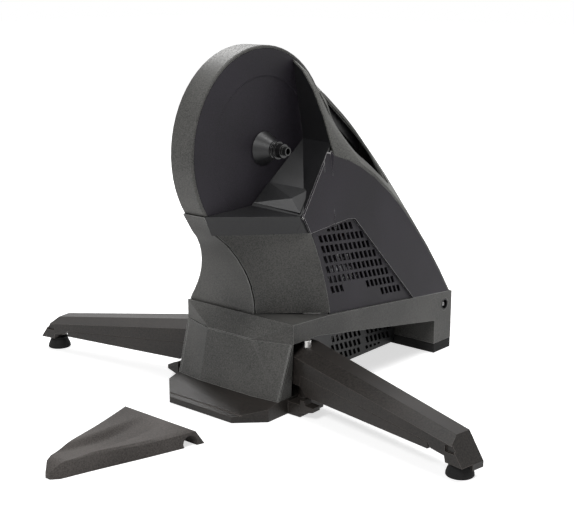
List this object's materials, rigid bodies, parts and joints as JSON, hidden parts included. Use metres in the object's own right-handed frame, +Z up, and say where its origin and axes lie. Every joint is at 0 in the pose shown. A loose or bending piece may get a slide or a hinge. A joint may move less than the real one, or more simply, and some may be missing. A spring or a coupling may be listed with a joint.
{
  "type": "direct drive bike trainer",
  "caption": "Indoor bike trainer that takes the place of the rear wheel: belt-driven flywheel under vented covers, axle and freehub, folding legs, and a loose front wheel block.",
  "frame": {"origin": "on the floor, on the underside of the base plate, straight under the axle", "axes": "+X to the near side, along the axle; +Y to the tail; +Z up"},
  "size_m": [0.7822, 0.7177, 0.4833],
  "materials": {
    "slate_cover": "fine texture",
    "grey_cover": "speckled moulded texture",
    "spine_cover": "speckled moulded texture",
    "black_cover": "matte",
    "leg_paint": "satin powder coat",
    "leg_plastic": "satin",
    "block_plastic": "matte",
    "rubber": "matte",
    "gloss_cap": "glossy",
    "steel": "turned",
    "frame_steel": "satin",
    "pulley_metal": "cast and turned",
    "coil": "wound copper",
    "board": "solder mask"
  },
  "bodies": {
    "frame": {"base_plate": "leg_paint", "floor_rail": "frame_steel", "frame_plate": "frame_steel", "axle_bracket": "frame_steel", "bearing_housing": "pulley_metal", "base_band": "grey_cover", "rear_foot": "rubber", "nose_panel": "grey_cover", "nose_shroud": "grey_cover", "neck_cover": "grey_cover", "flank_cover_far": "grey_cover", "recess_cover_far": "black_cover", "recess_cover_near": "black_cover", "shelf_cover_near": "grey_cover", "shoulder_panel_near": "grey_cover", "side_panel_near": "slate_cover", "side_panel_far": "slate_cover", "grille_near": "slate_cover", "grille_far": "slate_cover", "lower_vent_near": "black_cover", "lower_vent_far": "black_cover", "spine_cover": "spine_cover", "handle_grip": "black_cover", "pulley_case": "grey_cover", "pulley_cover": "slate_cover", "hub_cone": "black_cover", "hub_axle": "steel", "end_cap_near": "gloss_cap", "end_cap_far": "gloss_cap", "hub_bearing_near": "steel", "hub_bearing_far": "steel", "drive_belt": "rubber", "shaft_bearing_far": "steel", "shaft_bearing_near": "steel", "brake_yoke": "frame_steel", "brake_coil_far": "coil", "brake_coil_near": "coil", "idler_arm": "frame_steel", "control_board": "board", "power_socket": "black_cover", "leg_pin_near": "steel", "leg_pin_far": "steel"},
    "near_leg": {"leg_near": "leg_paint", "leg_cover_near": "leg_plastic"},
    "far_leg": {"leg_far": "leg_paint", "leg_cover_far": "leg_plastic"},
    "near_foot": {"foot_pad_near": "rubber", "foot_screw_near": "steel"},
    "far_foot": {"foot_pad_far": "rubber", "foot_screw_far": "steel"},
    "near_latch": {"leg_latch_near": "leg_plastic"},
    "far_latch": {"leg_latch_far": "leg_plastic"},
    "flywheel": {"flywheel": "steel", "flywheel_shaft": "steel", "belt_pinion": "steel"},
    "pulley": {"drive_pulley": "pulley_metal"},
    "idler": {"idler_roller": "steel"},
    "freehub": {"freehub_body": "steel"},
    "front_block": {"wheel_block": "block_plastic"}
  },
  "joints": [
    {"name": "near_leg_fold", "type": "hinge", "parent": "frame", "child": "near_leg", "pos_m": [0.0978, 0.0019, 0.06], "axis": [0, 0, 1], "range_deg": [0, 107]},
    {"name": "far_leg_fold", "type": "hinge", "parent": "frame", "child": "far_leg", "pos_m": [-0.0978, 0.0019, 0.06], "axis": [0, 0, -1], "range_deg": [0, 107]},
    {"name": "near_foot_level", "type": "slide", "parent": "near_leg", "child": "near_foot", "axis": [0, 0, -1], "range_m": [0, 0.01]},
    {"name": "far_foot_level", "type": "slide", "parent": "far_leg", "child": "far_foot", "axis": [0, 0, -1], "range_m": [0, 0.01]},
    {"name": "near_latch_tip", "type": "hinge", "parent": "frame", "child": "near_latch", "pos_m": [0.1143, -0.025, 0.006], "axis": [0, 1, 0], "range_deg": [0, 12], "stiffness_Nm_per_rad": 0.05, "springref_deg": -11.46},
    {"name": "far_latch_tip", "type": "hinge", "parent": "frame", "child": "far_latch", "pos_m": [-0.1143, -0.025, 0.006], "axis": [0, -1, 0], "range_deg": [0, 12], "stiffness_Nm_per_rad": 0.05, "springref_deg": -11.46},
    {"name": "flywheel_spin", "type": "hinge", "parent": "frame", "child": "flywheel", "pos_m": [0, 0.175, 0.13], "axis": [1, 0, 0], "continuous": true},
    {"name": "pulley_spin", "type": "hinge", "parent": "frame", "child": "pulley", "pos_m": [0, 0, 0.3479], "axis": [1, 0, 0], "continuous": true},
    {"name": "idler_spin", "type": "hinge", "parent": "frame", "child": "idler", "pos_m": [0, 0.16986, 0.25231], "axis": [1, 0, 0], "continuous": true},
    {"name": "freehub_coast", "type": "hinge", "parent": "pulley", "child": "freehub", "pos_m": [0, 0, 0.3479], "axis": [1, 0, 0], "continuous": true},
    {"name": "block_lift", "type": "slide", "parent": "frame", "child": "front_block", "axis": [0, 0, 1], "range_m": [0, 0.3]}
  ],
  "couplings": [
    {"joint": "pulley_spin", "follows": "flywheel_spin", "ratio": 0.14783},
    {"joint": "idler_spin", "follows": "flywheel_spin", "ratio": -1.3077}
  ]
}
